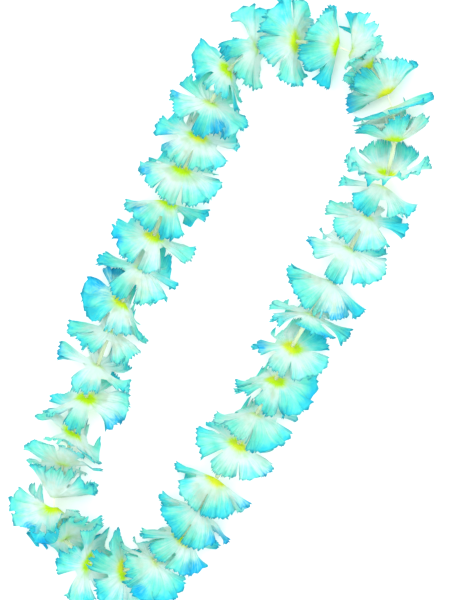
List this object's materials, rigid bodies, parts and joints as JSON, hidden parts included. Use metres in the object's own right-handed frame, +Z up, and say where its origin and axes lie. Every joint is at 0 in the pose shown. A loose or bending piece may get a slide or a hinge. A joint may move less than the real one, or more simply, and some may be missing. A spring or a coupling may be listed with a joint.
{
  "type": "flower lei",
  "caption": "Closed loop of pleated cloth flower discs with toothed petals, threaded on a knotted string with clear straws between them.",
  "frame": {"origin": "on the surface the lei lies on, under the middle of its box", "axes": "+Z up from the surface, +Y along the longer side of the loop towards the end that leans to the right, +X to the right seen from above"},
  "size_m": [0.3262, 0.4684, 0.0498],
  "materials": {
    "petal_cloth": "matte",
    "clear_straw": "satin",
    "string": "matte"
  },
  "bodies": {
    "root": {"bloom_01": "petal_cloth", "bloom_02": "petal_cloth", "bloom_03": "petal_cloth", "bloom_04": "petal_cloth", "bloom_05": "petal_cloth", "bloom_06": "petal_cloth", "bloom_07": "petal_cloth", "bloom_08": "petal_cloth", "bloom_09": "petal_cloth", "bloom_10": "petal_cloth", "bloom_11": "petal_cloth", "bloom_12": "petal_cloth", "bloom_13": "petal_cloth", "bloom_14": "petal_cloth", "bloom_15": "petal_cloth", "bloom_16": "petal_cloth", "bloom_17": "petal_cloth", "bloom_18": "petal_cloth", "bloom_19": "petal_cloth", "bloom_20": "petal_cloth", "bloom_21": "petal_cloth", "bloom_22": "petal_cloth", "bloom_23": "petal_cloth", "bloom_24": "petal_cloth", "bloom_25": "petal_cloth", "bloom_26": "petal_cloth", "bloom_27": "petal_cloth", "bloom_28": "petal_cloth", "bloom_29": "petal_cloth", "bloom_30": "petal_cloth", "bloom_31": "petal_cloth", "bloom_32": "petal_cloth", "bloom_33": "petal_cloth", "bloom_34": "petal_cloth", "bloom_35": "petal_cloth", "bloom_36": "petal_cloth", "bloom_37": "petal_cloth", "bloom_38": "petal_cloth", "bloom_39": "petal_cloth", "bloom_40": "petal_cloth", "string_with_straws": "clear_straw"}
  },
  "joints": []
}
